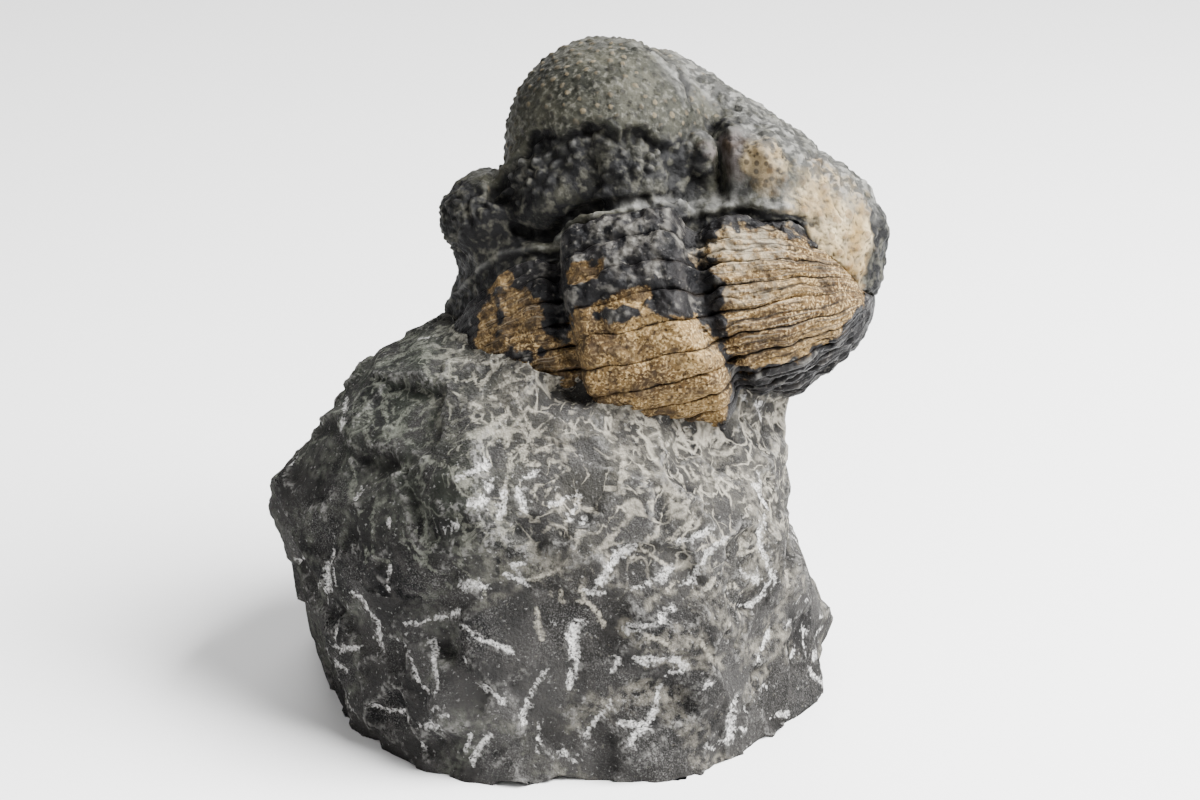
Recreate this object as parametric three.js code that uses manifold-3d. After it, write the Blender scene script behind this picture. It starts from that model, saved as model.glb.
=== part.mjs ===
// An enrolled phacopid trilobite, prepared out of a chipped block of dark limestone and still held by it.
// Units are millimetres, +Z is up, and the origin is the middle of the flat foot that the block stands on.
// The trilobite is modelled in its own frame: x runs along the axis that it is rolled round, to its right
// side, y runs forwards, from the back of the roll to the front of the head, and z points up out of the head.

import * as THREE from "three";
import { ImprovedNoise } from "three/addons/math/ImprovedNoise.js";
import { mergeVertices } from "three/addons/utils/BufferGeometryUtils.js";
import Module from "manifold-3d";

const wasm = await Module();
wasm.setup();

// Driving dimensions of the trilobite
const BODY_HALF_WIDTH = 31.5; // from the middle of the roll to the tips of the ribs
const BACK_RADIUS = 22.2; // the ribs' radius at the back of the roll
const BELLY_RADIUS = 11.6; // the ribs' radius where the roll is pressed on the block
const FRONT_RADIUS = 16; // the tail plate's radius, below the front of the head
const AXIS_RISE = 3.6; // how far the middle lobe stands above the ribs
const AXIS_HALF_WIDTH = 9.8;
const GLABELLA_RADIUS = 15.2;
const GLABELLA_TOP = 44.3; // height of the glabella over the roll's axis
const GLABELLA_MIDDLE = new THREE.Vector3(-0.9, -2, GLABELLA_TOP - GLABELLA_RADIUS);
const EYE_SPAN = 19.6; // from the middle of the head to the middle of the left eye
const SEGMENTS = 11;
const SEGMENT_LENGTH = 4.4; // along the back, from one plate's edge to the next
const TUBERCLE_RADIUS = 1.6; // of the coarse tubercles on the lower back of the glabella
const GAP = 0.32; // clearance between one plate and the next

// The plates' angles about the x axis: 0 is straight back, 90 is up and 180 is forwards
const DEGREE = Math.PI / 180;
const HEAD_BACK = 43;
const HEAD_FRONT = 168;

// The cheeks' lower corners close over the tips of the ribs, beyond a slanting plane on each side
const CORNER_SLANT = 33 * DEGREE;
const CORNER_REACH = [28, 26]; // on the left and on the right

// Driving dimensions of the block, and how the fossil sits on it
const BLOCK_RADIUS = 36; // from the middle of the block to its side faces
const BLOCK_HEIGHT = 50; // of the top face, over the middle of the foot
const BLOCK_MIDDLE = 24; // height of the point that the faces are set out from
const SOCKET_GAP = 0.6; // clearance of the bed that the fossil lies in
const FOSSIL_PLACE = new THREE.Vector3(15.2, 2, 51.8);
const FOSSIL_TURN = new THREE.Euler(-20 * DEGREE, -12 * DEGREE, -7 * DEGREE);

const ACROSS = new THREE.Vector3(1, 0, 0);
const GOLDEN_TURN = Math.PI * (3 - Math.sqrt(5)); // spreads points evenly over a dome
const noise = new ImprovedNoise();

function smoothMin(a, b, k) {
  const h = Math.max(k - Math.abs(a - b), 0) / k;
  return Math.min(a, b) - (h * h * k) / 4;
}

function smoothMax(a, b, k) {
  return -smoothMin(-a, -b, k);
}

function bump(distance, width) {
  return Math.exp(-((distance / width) ** 2));
}

function roughness(p, scale, seed = 0) {
  return noise.noise(p.x / scale + seed, p.y / scale + 0.5 * seed, p.z / scale - seed);
}

// Distance from p to an ellipsoid of centre c and radii r, less than 0 inside
function ellipsoid(p, c, r) {
  const q = new THREE.Vector3(p.x - c[0], p.y - c[1], p.z - c[2]);
  const near = Math.hypot(q.x / r[0], q.y / r[1], q.z / r[2]);
  const slope = Math.hypot(q.x / r[0] ** 2, q.y / r[1] ** 2, q.z / r[2] ** 2);
  return (near * (near - 1)) / Math.max(slope, 1e-6);
}

// How far a ray goes from inside a field's solid to its outermost crossing, which is where the skin lies
function reach(field, centre, direction) {
  const furthest = 60;
  const step = 0.5;
  const at = (t) => field(centre.clone().addScaledVector(direction, t));
  let inner = furthest;
  while (inner > step && at(inner) > 0) inner -= step;
  let outer = inner + step;
  for (let i = 0; i < 12; i++) {
    const middle = (inner + outer) / 2;
    if (at(middle) > 0) outer = middle;
    else inner = middle;
  }
  return inner;
}

function solidOf(geometry) {
  const bare = geometry.clone();
  bare.deleteAttribute("normal");
  bare.deleteAttribute("uv");
  const merged = mergeVertices(bare, 1e-4);
  const vertProperties = merged.attributes.position.array;
  const triVerts = new Uint32Array(merged.index.array);
  return new wasm.Manifold(new wasm.Mesh({ numProp: 3, vertProperties, triVerts }));
}

// A closed skin of even triangles round a field's solid, as seen from its centre
function skin(field, centre, detail) {
  const ball = new THREE.IcosahedronGeometry(1, detail);
  const position = ball.attributes.position;
  const direction = new THREE.Vector3();
  const known = new Map();
  for (let i = 0; i < position.count; i++) {
    direction.fromBufferAttribute(position, i);
    direction.normalize();
    const key = direction.toArray().map((v) => v.toFixed(5)).join();
    if (!known.has(key)) {
      const distance = reach(field, centre, direction);
      known.set(key, centre.clone().addScaledVector(direction, distance));
    }
    position.setXYZ(i, ...known.get(key).toArray());
  }
  return ball;
}

function addPiece(parent, name, solid, colour, rough) {
  const mesh = solid.getMesh();
  const geometry = new THREE.BufferGeometry();
  geometry.setAttribute("position", new THREE.BufferAttribute(new Float32Array(mesh.vertProperties), 3));
  geometry.setIndex(new THREE.BufferAttribute(new Uint32Array(mesh.triVerts), 1));
  geometry.computeVertexNormals();
  const material = new THREE.MeshStandardMaterial({ color: colour, roughness: rough, metalness: 0 });
  const piece = new THREE.Mesh(geometry, material);
  piece.name = name;
  parent.add(piece);
}

// The ribs' radius about the x axis, for an angle in degrees and a place across
function ribRadius(angle, x) {
  const a = angle * DEGREE;
  const outward = Math.cos(a) > 0 ? BACK_RADIUS : FRONT_RADIUS;
  const upright = Math.sin(a) < 0 ? BELLY_RADIUS : BACK_RADIUS;
  const round = 1 / Math.hypot(Math.cos(a) / outward, Math.sin(a) / upright);
  const across = Math.min(Math.abs(x) / BODY_HALF_WIDTH, 1);
  return round * Math.sqrt(1 - across ** 2.7);
}

// How much there is of the middle lobe, which sinks into the tail plate before its rear edge
function lobeShare(angle) {
  const roundTheRoll = angle > 90 ? angle - 360 : angle;
  return THREE.MathUtils.smoothstep(roundTheRoll, -178, -130);
}

// The middle lobe over the ribs, with a furrow along each side of it
function lobeRise(angle, x) {
  const lobe = Math.sqrt(Math.max(0, 1 - (x / AXIS_HALF_WIDTH) ** 4));
  const furrow = bump(Math.abs(x) - AXIS_HALF_WIDTH - 0.8, 1.6);
  return (AXIS_RISE * lobe - 1.4 * furrow) * lobeShare(angle);
}

// A segment's outer face, at a share from 0, its front edge, to 1, its rear edge: a ring with a knob at
// each end on the middle lobe, and a rib of two bands with a furrow between them on each side
function segmentFace(angle, share, x) {
  const out = Math.abs(x);
  const onAxis = 1 / (1 + Math.exp((out - AXIS_HALF_WIDTH) / 0.6));
  const knob = bump(out - 0.8 * AXIS_HALF_WIDTH, 2.2);
  const ring = (0.9 + 0.7 * knob) * (1 - Math.abs(2 * share - 1) ** 3) - 0.5 * share;
  const bands = 0.85 * Math.sin(2 * Math.PI * share) ** 2 - 0.3 - 0.25 * share;
  const pit = 1.2 * bump(out - AXIS_HALF_WIDTH - 1, 1.4) * (2 * share - 1) ** 4;
  const fade = Math.max(0, 1 - (out / BODY_HALF_WIDTH) ** 6);
  return ribRadius(angle, x) + lobeRise(angle, x) + onAxis * ring + (1 - onAxis) * bands * fade - pit;
}

// The tail plate carries the lobes on as shallower rings, which fade out before its rear edge
function tailFace(angle, share, x) {
  const rings = 7;
  const across = Math.max(0, 1 - (x / BODY_HALF_WIDTH) ** 2);
  const ripple = 0.5 * Math.cos(2 * Math.PI * rings * share) * across;
  return ribRadius(angle, x) + lobeRise(angle, x) + ripple * lobeShare(angle);
}

// The places across the roll where a plate has its points, closer together over the furrow and at the tips
const STATIONS = [3.2, 6.4, 8.4, 9.7, 10.8, 12.6, 15.2, 18.4, 22, 25.6, 28.6, 30.6];

// A plate of the roll between two angles: a wedge with its face outside, and its inner edge near the x
// axis, moved away from it so that the plate's sides stand clear of its neighbours'
function rolledPlate(from, to, rows, face, gap = GAP) {
  const middle = ((from + to) / 2) * DEGREE;
  const away = gap / 2 / Math.sin(((to - from) / 2) * DEGREE);
  const points = [];
  const add = (x, r, angle) => {
    const y = -r * Math.cos(angle) - away * Math.cos(middle);
    const z = r * Math.sin(angle) + away * Math.sin(middle);
    points.push(x, y, z);
    return points.length / 3 - 1;
  };
  const places = [...STATIONS.map((x) => -x).reverse(), 0, ...STATIONS];
  const grid = [];
  for (let j = 0; j <= rows; j++) {
    const share = j / rows;
    const angle = to + (from - to) * share;
    grid.push(places.map((x) => add(x, Math.max(face(angle, share, x) - away, 0.4), angle * DEGREE)));
  }
  const left = add(-BODY_HALF_WIDTH, 0, 0);
  const right = add(BODY_HALF_WIDTH, 0, 0);
  const inner = add(0, 0, 0);
  const faces = [];
  const last = places.length - 1;
  for (let j = 0; j < rows; j++) {
    for (let i = 0; i < last; i++) {
      const [a, b, c, d] = [grid[j][i], grid[j][i + 1], grid[j + 1][i + 1], grid[j + 1][i]];
      faces.push(a, d, c, a, c, b);
    }
    faces.push(left, grid[j + 1][0], grid[j][0]);
    faces.push(right, grid[j][last], grid[j + 1][last]);
  }
  const front = [left, ...grid[0], right];
  const back = [left, ...grid[rows], right];
  for (let i = 0; i < front.length - 1; i++) {
    faces.push(inner, front[i], front[i + 1]);
    faces.push(inner, back[i + 1], back[i]);
  }
  const geometry = new THREE.BufferGeometry();
  geometry.setAttribute("position", new THREE.BufferAttribute(new Float32Array(points), 3));
  geometry.setIndex(faces);
  return geometry;
}

// The glabella: a dome with two lobes at the back of it, under a ledge
function glabellaField(p) {
  const dome = ellipsoid(p, GLABELLA_MIDDLE.toArray(), [GLABELLA_RADIUS, 16, GLABELLA_RADIUS]);
  const lobeLeft = ellipsoid(p, [-9.4, -7.4, 24.4], [8.4, 9.8, 8]);
  const lobeRight = ellipsoid(p, [1.5, -10, 23], [9, 9, 7.5]);
  const underLedge = ellipsoid(p, [-3, -19.4, 28.6], [11, 3, 2.6]);
  const lobed = smoothMin(smoothMin(dome, lobeLeft, 1.2), lobeRight, 1.2);
  return smoothMax(lobed, -underLedge, 0.8);
}

// The head: the glabella, the neck ring behind it, the eyes and the cheeks, with furrows between them
function headField(p) {
  const neckRing = ellipsoid(p, [-0.5, -14, 16.8], [10, 5, 3.4]);
  const core = ellipsoid(p, [0, 0, 6], [25, 16, 18]);
  const cheekRight = ellipsoid(p, [17, 1.5, 11.5], [18.5, 15.5, 18]);
  const cheekLeft = ellipsoid(p, [-13.5, 1, 10.5], [14, 16, 15.5]);
  const cornerLeft = ellipsoid(p, [-24, 0, 5], [7.5, 10, 8]);
  const brow = ellipsoid(p, [9, 5, 23], [24, 12, 19]);
  const swelling = ellipsoid(p, [20.5, -5, 20], [8, 9, 8]);
  const eyeRidge = ellipsoid(p, [17, -7, 22.4], [2.8, 7, 5.2]);
  const eyeRight = ellipsoid(p, [21, -8, 21], [4.2, 7.2, 4.8]);
  const eyeLeft = ellipsoid(p, [-EYE_SPAN, -5, 22.4], [7, 9, 6.6]);
  const cheekSlope = 0.737 * p.x + 0.676 * p.z + 0.008 * p.y ** 2 - 35.6;
  const eyeHollow = ellipsoid(p, [13.4, -14.5, 25], [2, 4, 5.2]);
  const lobeHollow = ellipsoid(p, [9.8, -17.5, 22], [2.4, 4, 4.8]);
  let d = smoothMin(cheekRight, cheekLeft, 4);
  d = smoothMin(d, core, 4);
  d = smoothMin(d, cornerLeft, 4);
  d = smoothMin(d, brow, 3);
  d = smoothMin(d, swelling, 3);
  d = smoothMin(d, neckRing, 1.5);
  d = smoothMin(d, eyeRidge, 2.5);
  d = smoothMin(d, eyeRight, 1.6);
  d = smoothMin(d, eyeLeft, 3);
  d = smoothMax(d, cheekSlope, 4);
  d = smoothMin(d, glabellaField(p), 1.2);
  d = smoothMax(d, -eyeHollow, 1.5);
  return smoothMax(d, -lobeHollow, 1.5);
}

const HEAD_CENTRE = new THREE.Vector3(6, 1, 16);

// A wedge-shaped cutter between two angles about the x axis
function wedge(from, to) {
  const size = 90;
  const spoke = (a) => new THREE.Vector2(-size * Math.cos(a * DEGREE), size * Math.sin(a * DEGREE));
  const centre = new THREE.Vector2(0, 0);
  const outline = new THREE.Shape([centre, spoke(from), spoke((from + to) / 2), spoke(to)]);
  const geometry = new THREE.ExtrudeGeometry(outline, { depth: 2 * size, bevelEnabled: false });
  const [x, y, z] = [new THREE.Vector3(1, 0, 0), new THREE.Vector3(0, 1, 0), new THREE.Vector3(0, 0, 1)];
  geometry.applyMatrix4(new THREE.Matrix4().makeBasis(y, z, x));
  geometry.translate(-size, 0, 0);
  return solidOf(geometry);
}

// Cutters for both sides beyond the slanting planes of the cheeks' corners, moved in by a clearance
function cornerCutters(clearance) {
  const size = 90;
  const [left, right] = CORNER_REACH.map((distance, side) => {
    const box = new THREE.BoxGeometry(size, size, size);
    box.translate(size / 2 + distance - clearance, 0, 0);
    return solidOf(box.rotateY(-CORNER_SLANT).rotateZ(side === 0 ? Math.PI : 0));
  });
  return left.add(right);
}

// The raised border along the rear edge of the head, from cheek to cheek, as places across and angles
const BORDER = [
  [-26, 66],
  [-22, 53.6],
  [-15, 49],
  [-8, 46.5],
  [-3, 46],
  [3, 46.5],
  [6, 48],
  [10.6, 51],
  [16, 50],
  [21.4, 47],
  [26, 46.5],
];

function borderRidge() {
  const points = BORDER.map(([x, angle], i) => {
    const outward = new THREE.Vector3(0, -Math.cos(angle * DEGREE), Math.sin(angle * DEGREE));
    const middle = new THREE.Vector3(x, 0, 0);
    const sunk = i === 0 || i === BORDER.length - 1 ? 1.6 : 0.2;
    return middle.addScaledVector(outward, reach(headField, middle.clone(), outward) - sunk);
  });
  const section = new THREE.Shape();
  section.absarc(0, 0, 1.2, 0, 2 * Math.PI);
  const extrudePath = new THREE.CatmullRomCurve3(points);
  return solidOf(new THREE.ExtrudeGeometry(section, { steps: 20, curveSegments: 3, extrudePath }));
}

// Coarse tubercles on the lower back of the glabella, on a spiral of even steps from its middle outwards
function tubercles() {
  const count = 28;
  const capHeight = 0.5; // of the dome that they cover, as a share of its radius
  const droop = 16 * DEGREE; // of the dome's middle below straight back
  const sunk = 0.65; // share of a tubercle's radius below the skin
  const lumps = [];
  for (let i = 0; i < count; i++) {
    const tilt = Math.acos(1 - (capHeight * (i + 0.5)) / count);
    const turn = i * GOLDEN_TURN;
    const direction = new THREE.Vector3().setFromSphericalCoords(1, tilt, turn);
    direction.applyAxisAngle(ACROSS, Math.PI + droop);
    const size = TUBERCLE_RADIUS * (1 + 0.2 * Math.sin(5 * i));
    const distance = reach(glabellaField, GLABELLA_MIDDLE, direction) - sunk * size;
    const at = GLABELLA_MIDDLE.clone().addScaledVector(direction, distance);
    lumps.push(solidOf(new THREE.IcosahedronGeometry(size, 0).translate(at.x, at.y, at.z)));
  }
  return lumps.reduce((joined, lump) => joined.add(lump));
}

function head() {
  const dome = solidOf(skin(headField, HEAD_CENTRE, 11));
  const ball = dome.add(borderRidge()).add(tubercles());
  const region = wedge(HEAD_BACK + 0.8, HEAD_FRONT - 0.8).add(cornerCutters(0));
  return ball.intersect(region);
}

// The block's chipped faces: bearing from +x and tilt in degrees, and distance as a share of its radius
const FACES = [
  [-88, 8, 0.92],
  [-128, 6, 0.95],
  [-152, -8, 1.03],
  [-40, 4, 1.0],
  [0, 9, 0.94],
  [186, -17, 1.09],
  [164, 37, 0.98],
  [110, 58, 0.83],
  [-140, 42, 0.95],
  [-90, 46, 0.94],
  [-30, 45, 0.9],
  [90, 10, 0.96],
  [45, 6, 1.0],
  [135, 8, 1.0],
  [90, 42, 0.94],
];
const TOP_TILT = 0.27; // the top face falls this much for each millimetre to the right

function blockBody(p) {
  const high = p.z - BLOCK_MIDDLE;
  let d = (p.z - BLOCK_HEIGHT + TOP_TILT * p.x) / Math.hypot(1, TOP_TILT);
  for (const [bearing, tilt, share] of FACES) {
    const [b, t] = [bearing * DEGREE, tilt * DEGREE];
    const outward = (p.x * Math.cos(b) + p.y * Math.sin(b)) * Math.cos(t) + high * Math.sin(t);
    d = smoothMax(d, outward - share * BLOCK_RADIUS, 4);
  }
  const spur = ellipsoid(p, [32, 6, 6], [9, 10, 9]);
  const neck = ellipsoid(p, [24, 0, 42], [9, 12, 9]);
  return smoothMin(smoothMin(d, spur, 4), neck, 3);
}

// Shallow shell-shaped scars where chips came off, spread round the block from its foot to its shoulder
function chipScars() {
  const middle = new THREE.Vector3(0, 0, BLOCK_MIDDLE);
  const count = 16;
  const lowest = -0.55;
  const highest = 0.7;
  const depth = 1.5;
  const scars = [];
  for (let i = 0; i < count; i++) {
    const rise = THREE.MathUtils.lerp(lowest, highest, (i + 0.5) / count);
    const turn = i * GOLDEN_TURN;
    const flat = Math.sqrt(1 - rise * rise);
    const direction = new THREE.Vector3(flat * Math.cos(turn), flat * Math.sin(turn), rise);
    const radius = 9 + 4 * Math.sin(3 * i);
    const distance = reach(blockBody, middle, direction) + radius - depth;
    scars.push({ centre: middle.clone().addScaledVector(direction, distance), radius });
  }
  return scars;
}

const scars = chipScars();

function blockField(p) {
  let d = blockBody(p);
  for (const { centre, radius } of scars) d = smoothMax(d, radius - p.distanceTo(centre), 1.2);
  return d + 0.8 * roughness(p, 9) + 0.5 * roughness(p, 4.5, 7);
}

// The bed that the fossil lies in, where it is placed: its own form with a clearance all round
function bed(place) {
  const around = (angle, share, x) => {
    const onAxis = 1 / (1 + Math.exp((Math.abs(x) - AXIS_HALF_WIDTH - 0.6) / 0.6));
    const relief = 0.6 + 1.2 * onAxis * lobeShare(angle);
    return ribRadius(angle, x) + lobeRise(angle, x) + relief + SOCKET_GAP;
  };
  const third = 120;
  const overlap = 6;
  const rows = 10;
  const wider = 1 + (1.5 * SOCKET_GAP) / BODY_HALF_WIDTH;
  const aroundHead = skin((p) => headField(p) - 1.5 * SOCKET_GAP, HEAD_CENTRE, 8);
  let hollow = solidOf(aroundHead.applyMatrix4(place));
  for (let from = -180; from < 180; from += third) {
    const sector = rolledPlate(from - overlap, from + third + overlap, rows, around, 0).scale(wider, 1, 1);
    hollow = hollow.add(solidOf(sector.applyMatrix4(place)));
  }
  return hollow;
}

// The block, cut flat at its foot and hollowed where the fossil lies in it
function block(place) {
  const size = 120;
  const floor = new THREE.BoxGeometry(size, size, size).translate(0, 0, -size / 2);
  const stone = solidOf(skin(blockField, new THREE.Vector3(0, 0, BLOCK_MIDDLE), 9));
  return stone.subtract(solidOf(floor)).subtract(bed(place));
}

const group = new THREE.Group();
const fossil = new THREE.Group();
fossil.position.copy(FOSSIL_PLACE);
fossil.rotation.copy(FOSSIL_TURN);
fossil.updateMatrix();
group.add(fossil);

addPiece(fossil, "cephalon", head(), 0x5d5c55, 0.8);

// The segments lie one behind the other from the head to the tail, and the last ones are buried in the block
const corners = cornerCutters(GAP);
const segmentsSeen = 7;
let angle = HEAD_BACK;
for (let i = 1; i <= SEGMENTS; i++) {
  const rear = angle - SEGMENT_LENGTH / (ribRadius(angle, 0) + AXIS_RISE) / DEGREE;
  const rows = i <= segmentsSeen ? 5 : 2;
  const plate = solidOf(rolledPlate(rear, angle, rows, segmentFace));
  const name = `thorax_segment_${String(i).padStart(2, "0")}`;
  addPiece(fossil, name, plate.subtract(corners), 0xa98a5c, 0.85);
  angle = rear;
}

const tailPlate = solidOf(rolledPlate(HEAD_FRONT - 360, angle, 12, tailFace));
addPiece(fossil, "pygidium", tailPlate.subtract(corners), 0x6b6353, 0.85);

addPiece(group, "matrix_block", block(fossil.matrix), 0x4b4a49, 0.9);

export default group;
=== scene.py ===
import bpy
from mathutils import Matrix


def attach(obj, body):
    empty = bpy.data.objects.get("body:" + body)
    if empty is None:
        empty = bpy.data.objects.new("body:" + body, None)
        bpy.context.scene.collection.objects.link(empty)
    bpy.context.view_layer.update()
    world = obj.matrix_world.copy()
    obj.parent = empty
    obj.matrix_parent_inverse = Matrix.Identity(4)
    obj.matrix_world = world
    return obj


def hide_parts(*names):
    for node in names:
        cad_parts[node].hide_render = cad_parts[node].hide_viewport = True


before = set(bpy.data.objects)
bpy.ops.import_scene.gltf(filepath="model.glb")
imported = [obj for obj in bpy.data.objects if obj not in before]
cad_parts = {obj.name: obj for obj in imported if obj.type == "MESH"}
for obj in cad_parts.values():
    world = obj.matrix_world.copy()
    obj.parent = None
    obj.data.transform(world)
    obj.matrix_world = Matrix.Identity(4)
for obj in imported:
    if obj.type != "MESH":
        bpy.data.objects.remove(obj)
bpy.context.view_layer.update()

import math

import bmesh
import bpy
import numpy as np
import openvdb
from mathutils import Matrix, Vector, noise
from mathutils.kdtree import KDTree

# The view
# The photograph looks at the back of the rolled body from 20 degrees above it, through a short telephoto
# lens, with the middle of the picture a little right of the block's middle.
VIEW_AIM = Vector((0.0065, 0, 0.0433))
VIEW_DISTANCE = 0.4106
VIEW_HEIGHT = math.radians(20)
lens = bpy.data.cameras.new("view")
lens.lens = 85
lens.sensor_width = 36
lens.clip_start = 0.01
camera = bpy.data.objects.new("view", lens)
bpy.context.scene.collection.objects.link(camera)
camera.location = VIEW_AIM + VIEW_DISTANCE * Vector((0, -math.cos(VIEW_HEIGHT), math.sin(VIEW_HEIGHT)))
camera.rotation_euler = (math.pi / 2 - VIEW_HEIGHT, 0, 0)
bpy.context.scene.camera = camera

# The table and the light
# The fossil stands on a plain white table top, in soft daylight from a wide window high on the right, with
# the pale room lighting the shaded side.
bpy.ops.mesh.primitive_plane_add(size=6)
table = bpy.context.object
table.name = "table"


def node(material, kind, sockets=None, **settings):
    made = material.node_tree.nodes.new(kind)
    for name, value in settings.items():
        setattr(made, name, value)
    for name, value in (sockets or {}).items():
        if isinstance(value, bpy.types.NodeSocket):
            material.node_tree.links.new(value, made.inputs[name])
        else:
            made.inputs[name].default_value = value
    return made


def finish(name, roughness, specular):
    material = bpy.data.materials.new(name)
    material.use_nodes = True
    shader = material.node_tree.nodes["Principled BSDF"]
    shader.inputs["Roughness"].default_value = roughness
    shader.inputs["Specular IOR Level"].default_value = specular
    return material, shader


white_top, shader = finish("white_table_top", 0.5, 0.3)
place = node(white_top, "ShaderNodeTexCoord").outputs["Object"]
mottle = node(white_top, "ShaderNodeTexNoise", {"Vector": place, "Scale": 6, "Detail": 3})
paper = node(white_top, "ShaderNodeValToRGB", {"Fac": mottle.outputs["Fac"]})
paper.color_ramp.elements[0].color = (0.80, 0.80, 0.80, 1)
paper.color_ramp.elements[1].color = (0.87, 0.87, 0.87, 1)
white_top.node_tree.links.new(paper.outputs["Color"], shader.inputs["Base Color"])
table.data.materials.append(white_top)

room = bpy.data.worlds.new("room")
room.use_nodes = True
room.node_tree.nodes["Background"].inputs["Color"].default_value = (1.0, 0.985, 0.97, 1)
room.node_tree.nodes["Background"].inputs["Strength"].default_value = 0.24
bpy.context.scene.world = room

for name, where, size, power in [
    ("window", (0.44, -0.12, 0.56), 0.46, 36.0),
    ("wall", (-0.25, -0.6, 0.6), 0.6, 2.5),
    ("ceiling", (0.0, 2.4, 1.4), 2.0, 60.0),
]:
    light = bpy.data.lights.new(name, "AREA")
    light.size = size
    light.energy = power
    lamp = bpy.data.objects.new(name, light)
    lamp.location = where
    lamp.rotation_euler = (VIEW_AIM - lamp.location).to_track_quat("-Z", "Y").to_euler()
    bpy.context.scene.collection.objects.link(lamp)

# The block of limestone
# A lump of dark fine-grained limestone, broken off with a hammer and chisel, so that it is all chipped
# faces with pale bruises where the tools struck. The fossil is still held by it at its top.
STONE_LOW, STONE_HIGH = (-44, -42, -1.5), (46, 43, 58)
STONE_GRAIN = 0.53
CONTACT = 6.0
HOLD = 0.6
chance = np.random.default_rng(11)


def smooth_step(low, high, value):
    share = np.clip((value - low) / (high - low), 0, 1)
    return share * share * (3 - 2 * share)


def joined(first, second, blend):
    """The nearer of two distances, with the corner between them rounded off."""
    h = np.maximum(blend - np.abs(first - second), 0) / blend
    return np.minimum(first, second) - h * h * blend / 4


def rough(points, size, octaves=3, seed=0.0):
    """Fractal noise from about -1 to 1 at each point, with features of a size in millimetres."""
    return np.array([noise.fractal(p, 1.0, 2.0, octaves) for p in (points / size + seed).tolist()])


def distances(names, low, high, step, reach):
    """Distance in millimetres from the surface of CAD solids, on a lattice, less than 0 inside them."""
    corners, triangles, count = [], [], 0
    for name in names:
        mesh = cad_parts[name].data
        mesh.calc_loop_triangles()
        places = np.empty(len(mesh.vertices) * 3, np.float32)
        mesh.vertices.foreach_get("co", places)
        ends = np.empty(len(mesh.loop_triangles) * 3, np.int32)
        mesh.loop_triangles.foreach_get("vertices", ends)
        corners.append(places.reshape(-1, 3) * 1000)
        triangles.append(ends.reshape(-1, 3) + count)
        count += len(mesh.vertices)
    scale = [[step, 0, 0, 0], [0, step, 0, 0], [0, 0, step, 0], [*low, 1]]
    volume = openvdb.FloatGrid.createLevelSetFromPolygons(
        np.concatenate(corners), np.concatenate(triangles).astype(np.uint32), None,
        openvdb.createLinearTransform(scale), reach / step,
    )
    values = np.empty([int((b - a) / step) for a, b in zip(low, high)], np.float32)
    volume.copyToArray(values)
    return values


def skin(values, low, step):
    """The surface where a lattice of distances is 0, as an even mesh that faces out."""
    volume = openvdb.FloatGrid(3 * step)
    volume.copyFromArray(np.clip(values, -3 * step, 3 * step).astype(np.float32))
    points, quads = volume.convertToQuads(isovalue=0.0)[:2]
    points, quads = points.astype(float) * step + low, quads.astype(int)
    across = np.cross(points[quads[:, 2]] - points[quads[:, 0]], points[quads[:, 3]] - points[quads[:, 1]])
    if np.sum(across * points[quads[:, 0]]) < 0:
        quads = quads[:, ::-1]
    return points, quads


def relax(points, faces, rounds):
    """Evens a mesh out, each vertex towards the middle of its neighbours."""
    here, there = faces.ravel(), np.roll(faces, -1, axis=1).ravel()
    count = np.bincount(here, minlength=len(points)) + np.bincount(there, minlength=len(points))
    for _ in range(rounds):
        total = [
            np.bincount(here, points[there, k], len(points)) + np.bincount(there, points[here, k], len(points))
            for k in range(3)
        ]
        points = 0.4 * points + 0.6 * np.stack(total, -1) / count[:, None]
    return points


def outward(points, faces):
    """Unit normals of a mesh's vertices."""
    first, last = (0, 2) if faces.shape[1] == 4 else (0, 1)
    across = np.cross(points[faces[:, last]] - points[faces[:, first]], points[faces[:, -1]] - points[faces[:, -3]])
    total = np.zeros_like(points)
    for corner in faces.T:
        total += np.stack([np.bincount(corner, across[:, k], len(points)) for k in range(3)], -1)
    return total / np.maximum(np.linalg.norm(total, axis=1), 1e-9)[:, None]


def hollowness(points, faces, rounds):
    """How deep each vertex lies below its surroundings, in millimetres; less than 0 on ridges."""
    return np.sum((relax(points, faces, rounds) - points) * outward(points, faces), axis=1)


def near_line(flat, line):
    """Distance in millimetres from points in a plane to a line of several points, and how far along it."""
    nearest, passed = np.full(len(flat), 1e3), np.zeros(len(flat))
    for number, (start, end) in enumerate(zip(np.array(line[:-1], float), np.array(line[1:], float))):
        along = end - start
        share = np.clip((flat - start) @ along / (along @ along), 0, 1)
        away = np.linalg.norm(flat - start - share[:, None] * along, axis=1)
        passed = np.where(away < nearest, (number + share) / (len(line) - 1), passed)
        nearest = np.minimum(nearest, away)
    return nearest, passed


def make_piece(name, points, faces, **shares):
    """A mesh piece from points in millimetres, with values for its finish at each point."""
    mesh = bpy.data.meshes.new(name)
    mesh.from_pydata((points * 0.001).tolist(), [], faces.tolist())
    for share, values in shares.items():
        mesh.attributes.new(share, "FLOAT", "POINT").data.foreach_set("value", values.astype(np.float32))
    mesh.shade_smooth()
    piece = bpy.data.objects.new(name, mesh)
    bpy.context.scene.collection.objects.link(piece)
    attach(piece, "root")
    return piece


# The stone closes up to the fossil, in a fillet that follows it
fossil_names = [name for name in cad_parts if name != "matrix_block"]
block = distances(["matrix_block"], STONE_LOW, STONE_HIGH, STONE_GRAIN, CONTACT + 1)
fossil = distances(fossil_names, STONE_LOW, STONE_HIGH, STONE_GRAIN, CONTACT + 1) + HOLD
points, faces = skin(np.maximum(joined(block, fossil, CONTACT), 0.15 - fossil), STONE_LOW, STONE_GRAIN)
foot = points[:, 2] < 0.3
points = np.where(foot[:, None], points, relax(points, faces, 6))

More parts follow.
